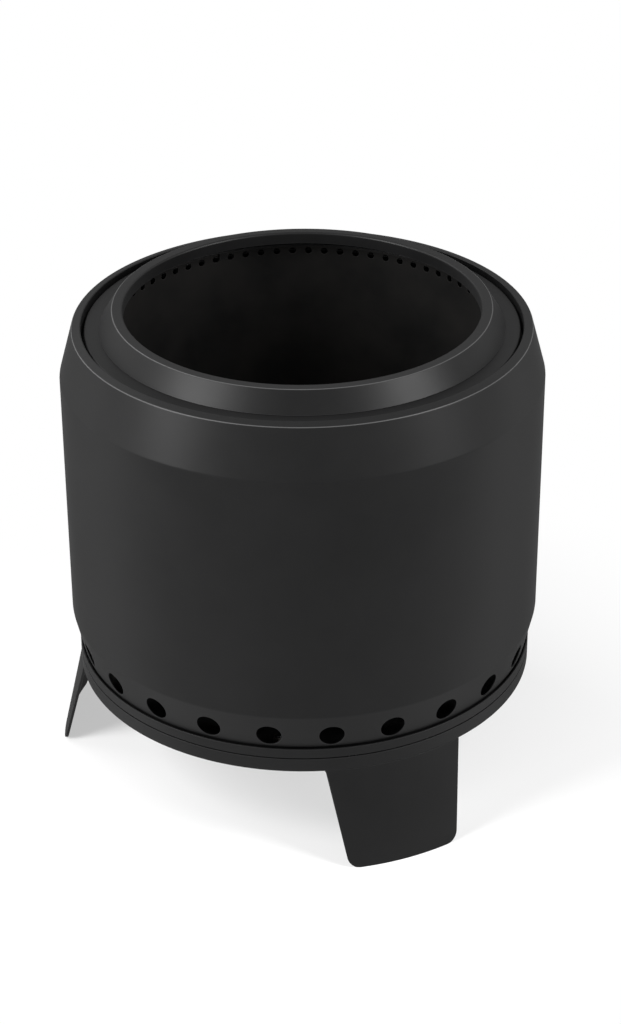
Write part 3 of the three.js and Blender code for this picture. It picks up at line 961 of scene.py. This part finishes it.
def stand_ring():
    pan = reach("stand_ring")
    channel = pan - CHANNEL_WIDTH
    level = top("stand_ring")
    points = [
        (channel - CLAMP_FLANGE, level - BASE_SHEET),
        (channel, level - BASE_SHEET),
        (channel, foot("stand_ring")),
        (pan, foot("stand_ring")),
        (pan, level),
    ]
    obj = turned_sheet("stand_ring", points, STAND_BENDS, BASE_SHEET)
    soften(obj)
    dress(obj, "stand_ring")


def fire_chamber():
    deck = top("fire_chamber")
    edge = reach("fire_chamber") - SHELL_SHEET
    wall = reach("outer_wall") - AIR_GAP
    under = deck - SHELL_SHEET
    points = [
        (wall, foot("fire_chamber")),
        (wall, under),
        (edge, under),
        (edge, under - DECK_EDGE),
    ]
    jets = HoleRow(
        stretch=0,
        centre=deck - JET_DROP - foot("fire_chamber"),
        height=JET_ROW_HEIGHT,
        count=JET_COUNT,
        diameter=JET_DIAMETER,
        side=JET_TILE_SIDE)
    obj = turned_sheet("fire_chamber", points, CHAMBER_BENDS, SHELL_SHEET, jets)
    soften(obj)
    dress(obj, "fire_chamber")
    # The deck has the coat of the outer wall
    obj.data.materials.append(FINISHES["black_coat"])
    for face in obj.data.polygons:
        if face.center.xy.length > wall + SHELL_SHEET:
            face.material_index = 1


def chamber_floor():
    under = foot("chamber_floor")
    well = reach("outer_wall") - AIR_GAP - WELL_INSET
    ledge = under + WELL_DEPTH
    collar = reach("chamber_floor")
    slope = collar - well - LEDGE_WIDTH
    points = [
        (0, under),
        (well, under),
        (well, ledge),
        (well + LEDGE_WIDTH, ledge),
        (collar, ledge + slope),
        (collar, top("chamber_floor")),
    ]
    inlets = HoleRow(
        stretch=1,
        centre=INLET_RISE,
        height=INLET_ROW_HEIGHT,
        count=INLET_COUNT,
        diameter=INLET_DIAMETER,
        side=TILE_SIDE)
    obj = turned_sheet("chamber_floor", points, FLOOR_BENDS, SHELL_SHEET, inlets)
    soften(obj)
    dress(obj, "chamber_floor")


def flame_ring():
    base = reach("flame_ring")
    lip = base - RING_LEAN
    throat = lip - LIP_WIDTH
    crest = top("flame_ring")
    under = top("fire_chamber") + SEAM
    inner = reach("outer_wall") - AIR_GAP - SHELL_SHEET - FOOT_OVERHANG
    lip_edge = (lip, crest)
    points = [
        (inner, under),
        (base, under),
        lip_edge,
        (throat, crest),
        (throat, crest - SKIRT_DEPTH),
    ]
    obj = turned_sheet("flame_ring", points, FLAME_RING_BENDS, SHELL_SHEET)
    # The lip's outer bend gets a painted highlight
    mark_painted_highlight(obj, points, FLAME_RING_BENDS, lip_edge)
    bake_modifiers(obj)
    bm = bmesh.new()
    bm.from_mesh(obj.data)
    low, high = foot("flame_ring"), under + SHELL_SHEET
    for i in range(TAB_COUNT):
        # Each tab stands between two air jets
        angle = (2 * i + 1) * math.pi / TAB_COUNT + math.pi / JET_COUNT
        tab = bmesh.ops.create_cube(bm, size=1)["verts"]
        bmesh.ops.scale(bm, vec=(TAB_WIDTH, TAB_THICK, high - low), verts=tab)
        bmesh.ops.translate(bm, vec=(0, -inner - TAB_THICK / 2, (low + high) / 2), verts=tab)
        turn_verts(bm, tab, angle)
    bm.to_mesh(obj.data)
    bm.free()
    soften(obj)
    dress(obj, "flame_ring")


# The stand

def leg_half_width(level, low, high, top_half):
    """Half of the leg's width at a level: straight sides, and round corners at its foot."""
    foot_half = LEG_FOOT_WIDTH / 2
    side = foot_half + (top_half - foot_half) * min(1, (level - low) / (high - low))
    rise = min(level - low, LEG_CORNER)
    return side - LEG_CORNER + math.sqrt(LEG_CORNER ** 2 - (LEG_CORNER - rise) ** 2)


def leg(number):
    """A leg, made in front to the sizes of the frame's first leg and turned to its place."""
    node = f"leg_{number}"
    low, high = foot("leg_1"), top("leg_1")
    top_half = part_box("leg_1")[1].x
    pan = reach("stand_ring")
    foot_radius = -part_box("leg_1")[0].y
    corner_levels = [
        low + LEG_CORNER * (1 - math.cos(step * math.pi / 2 / LEG_CORNER_STEPS))
        for step in range(LEG_FIRST_STEP, LEG_CORNER_STEPS + 1)]
    slope = (foot_radius - pan) / (high - low)
    plate = [(foot_radius - (level - low) * slope, level) for level in [low, *corner_levels]]
    points = [*plate, (pan, high), (pan - LEG_FLANGE, high)]
    bm = bmesh.new()
    bent_wire(bm, points, [0] * len(points))
    turn_verts(bm, bm.verts[:], -math.pi / 2 - LEG_SWEEP)
    bmesh.ops.spin(
        bm, geom=bm.verts[:] + bm.edges[:], cent=(0, 0, 0), axis=(0, 0, 1),
        angle=2 * LEG_SWEEP, steps=LEG_STEPS)
    bmesh.ops.remove_doubles(bm, verts=bm.verts[:], dist=JOIN)
    bmesh.ops.recalc_face_normals(bm, faces=bm.faces[:])
    for vert in bm.verts:
        share = math.atan2(vert.co.x, -vert.co.y) / LEG_SWEEP
        radius = vert.co.xy.length
        x = share * leg_half_width(vert.co.z, low, high, top_half)
        vert.co = (x, -math.sqrt(radius ** 2 - x ** 2), vert.co.z)
    lowest = min(bm.faces, key=lambda f: f.calc_center_median().z)
    if lowest.normal.y > 0:
        bmesh.ops.reverse_faces(bm, faces=bm.faces[:])
    obj = new_object(f"{node}_plate", bm)
    thicken(obj, LEG_PLATE)
    bake_modifiers(obj)
    for vert in obj.data.vertices:
        if vert.co.z < low + FOOT_HEIGHT:
            vert.co.z = low
    angle = (number - 1) * 2 * math.pi / LEG_COUNT
    obj.data.transform(Matrix.Rotation(angle, 4, "Z"))
    soften(obj, LEG_EDGE)
    dress(obj, node)


def standoff(number):
    node = f"chamber_standoff_{number}"
    place = middle(node)
    low, high = foot(node), top(node)
    half = STANDOFF_TOP / 2
    outer = half + STANDOFF_LEAN + STANDOFF_FOOT
    roof = high - STRAP_SHEET
    points = [
        (-outer, low), (-half - STANDOFF_LEAN, low), (-half, roof),
        (half, roof), (half + STANDOFF_LEAN, low), (outer, low),
    ]
    obj = strap(
        node, points, STANDOFF_BENDS, STANDOFF_WIDTH,
        turn=math.atan2(place.y, place.x), centre=Vector((place.x, place.y, 0)))
    soften(obj)
    dress(obj, node)


# Screws, nuts and rivets

def screws():
    for name in ("leg_screw", "clamp_screw"):
        low, high = foot(f"{name}_1"), top(f"{name}_1")
        points = [
            (0, low),
            (HEAD_RADIUS - HEAD_HEIGHT / 2, low),
            (HEAD_RADIUS, low + HEAD_HEIGHT / 2),
            (HEAD_RADIUS, low + HEAD_HEIGHT),
            (SHANK / 2, low + HEAD_HEIGHT),
            (SHANK / 2, high - SHANK_CHAMFER),
            (SHANK / 2 - SHANK_CHAMFER, high),
            (0, high),
        ]
        template = turned_solid(name, points, SCREW_BENDS)
        bm = bmesh.new()
        prism(bm, HEXAGON, SOCKET_FLATS / math.sqrt(3), 2 * SOCKET_DEPTH, (0, 0, low))
        boolean(template, new_object("socket", bm), "DIFFERENCE")
        for i in range(1, SCREW_COUNT + 1):
            node = f"{name}_{i}"
            obj = copy_to(template, node, f"{node}_turned")
            soften(obj, SCREW_EDGE, SCREW_EDGE_ANGLE)
            dress(obj, node)
        bpy.data.objects.remove(template)


def nuts():
    for name in ("leg_nut", "clamp_nut"):
        low, high = foot(f"{name}_1"), top(f"{name}_1")
        centre = (0, 0, (low + high) / 2)
        corner = NUT_FLATS / math.sqrt(3)
        face = NUT_FACE_SHARE * NUT_FLATS / 2
        bm = bmesh.new()
        hexagon = prism(bm, HEXAGON, corner, high - low, centre)
        turn_verts(bm, hexagon, math.pi / HEXAGON)
        template = new_object(name, bm)
        # The lens that a nut's corners are turned down to
        lens_points = [
            (0, low),
            (face, low),
            (corner + NUT_LENS_MARGIN, low + NUT_CHAMFER),
            (corner + NUT_LENS_MARGIN, high - NUT_CHAMFER),
            (face, high),
            (0, high),
        ]
        lens = turned_solid("nut_lens", lens_points, [0] * len(lens_points), NUT_LENS_STEPS)
        boolean(template, lens, "INTERSECT")
        bm = bmesh.new()
        prism(bm, BOLT_STEPS, SHANK / 2 + SEAM, 2 * (high - low), centre)
        boolean(template, new_object("nut_bore", bm), "DIFFERENCE")
        for i in range(1, SCREW_COUNT + 1):
            node = f"{name}_{i}"
            obj = copy_to(template, node, f"{node}_hexagon")
            obj.data.shade_smooth()
            obj.data.set_sharp_from_angle(angle=NUT_EDGE_ANGLE)
            dress(obj, node)
        bpy.data.objects.remove(template)


def rivets():
    for name in ("handle_rivet", "bracket_rivet"):
        low, high = foot(f"{name}_1"), top(f"{name}_1")
        under = high - RIVET_HEAD_HEIGHT
        points = [
            (0, low),
            (RIVET / 2, low),
            (RIVET / 2, under),
            (RIVET_HEAD_RADIUS, under),
            (RIVET_HEAD_RADIUS * RIVET_CROWN_SHARE, high - RIVET_CROWN_RISE),
            (0, high),
        ]
        template = turned_solid(name, points, RIVET_BENDS)
        for i in range(1, RIVET_COUNT + 1):
            node = f"{name}_{i}"
            obj = copy_to(template, node, f"{node}_dome")
            soften(obj, RIVET_EDGE)
            dress(obj, node)
        bpy.data.objects.remove(template)


# The loose pieces in the fire

def fire_grate():
    low, high = foot("fire_grate"), top("fire_grate")
    radius = reach("fire_grate")
    points = [(0, low), (radius, low), (radius, high), (0, high)]
    disc = turned_solid("fire_grate_plate", points, [0] * len(points), GRATE_STEPS)
    bm = bmesh.new()
    for ring in range(GRATE_RINGS):
        ring_radius = GRATE_FIRST_RING + ring * GRATE_RING_PITCH
        count = math.floor(2 * math.pi * ring_radius / GRATE_HOLE_PITCH)
        for i in range(count):
            angle = i * 2 * math.pi / count
            place = (ring_radius * math.sin(angle), -ring_radius * math.cos(angle), low)
            prism(bm, BOLT_STEPS, GRATE_HOLE / 2, 4 * (high - low), place)
    boolean(disc, new_object("grate_holes", bm), "DIFFERENCE")
    soften(disc, GRATE_EDGE)
    dress(disc, "fire_grate")


def lift_ring():
    """A round wire, from the middle of its hinge side through four bends back to its start."""
    low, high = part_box("lift_ring")
    half = (high.x - low.x - RING_WIRE) / 2
    level = (low.z + high.z) / 2
    near, far = high.y - RING_WIRE / 2, low.y + RING_WIRE / 2
    corners = [
        (half, near, RING_HINGE_CORNER), (half, far, RING_CORNER),
        (-half, far, RING_CORNER), (-half, near, RING_HINGE_CORNER)]
    bm = bmesh.new()
    bmesh.ops.create_circle(bm, segments=WIRE_SIDES, radius=RING_WIRE / 2)
    place, heading = Vector((0, near, level)), Vector((1, 0, 0))
    start = Matrix.Translation(place) @ Matrix.Rotation(math.pi / 2, 4, "Y")
    bmesh.ops.transform(bm, matrix=start, verts=bm.verts[:])
    first = bm.edges[:]
    end = first
    for x, y, bend in corners:
        corner = Vector((x, y, level))
        straight = corner - place - heading * bend
        longer = bmesh.ops.extrude_edge_only(bm, edges=end)["geom"]
        moved = verts_of(longer)
        bmesh.ops.translate(bm, vec=straight, verts=moved)
        end = edges_of(longer)
        sideways = Vector((heading.y, -heading.x, 0))
        centre = place + straight + sideways * bend
        bent = bmesh.ops.spin(
            bm, geom=moved + end, cent=centre, axis=(0, 0, 1), angle=-math.pi / 2,
            steps=WIRE_BEND_STEPS)
        end = edges_of(bent["geom_last"])
        place, heading = corner + sideways * bend, sideways
    bmesh.ops.bridge_loops(bm, edges=first + end)
    bmesh.ops.recalc_face_normals(bm, faces=bm.faces[:])
    obj = new_object("lift_ring_wire", bm)
    obj.data.shade_smooth()
    dress(obj, "lift_ring")


def lift_ring_bracket():
    node = "lift_ring_bracket"
    low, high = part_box(node)
    outer = (high.y - low.y) / 2
    tunnel = outer - BRACKET_FOOT - STRAP_SHEET
    roof = high.z - STRAP_SHEET
    points = [
        (-outer, low.z), (-tunnel, low.z), (-tunnel, roof),
        (tunnel, roof), (tunnel, low.z), (outer, low.z)]
    obj = strap(
        node, points, BRACKET_BENDS, high.x - low.x,
        turn=math.pi / 2, centre=Vector((0, middle(node).y, 0)))
    soften(obj)
    dress(obj, node)


def ash_pan():
    under = foot("ash_pan")
    rim = top("ash_pan") - SHELL_SHEET
    radius = reach("ash_pan") - ASH_RIM
    points = [(0, under), (radius, under), (radius, rim), (radius + ASH_RIM, rim)]
    obj = turned_sheet("ash_pan", points, ASH_PAN_BENDS, SHELL_SHEET)
    soften(obj)
    dress(obj, "ash_pan")


def ash_pan_handle():
    node = "ash_pan_handle"
    low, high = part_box(node)
    outer = high.x
    inner = outer - HANDLE_FOOT
    roof = high.z - STRAP_SHEET
    points = [
        (-outer, low.z), (-inner, low.z), (HANDLE_SLOPE - inner, roof),
        (inner - HANDLE_SLOPE, roof), (inner, low.z), (outer, low.z)]
    obj = strap(
        node, points, HANDLE_BENDS, high.y - low.y, turn=0, centre=Vector((0, 0, 0)))
    soften(obj)
    dress(obj, node)


make_camera()
make_world()
make_floor()
for lamp_values in SOFTBOXES:
    softbox(*lamp_values)

outer_wall()
support_ring()
base_pan()
stand_ring()
fire_chamber()
chamber_floor()
flame_ring()
for leg_number in range(1, LEG_COUNT + 1):
    leg(leg_number)
for standoff_number in range(1, STANDOFF_COUNT + 1):
    standoff(standoff_number)
screws()
nuts()
rivets()
fire_grate()
lift_ring()
lift_ring_bracket()
ash_pan()
ash_pan_handle()

bpy.context.scene.view_settings.view_transform = "Standard"

bpy.context.view_layer.update()
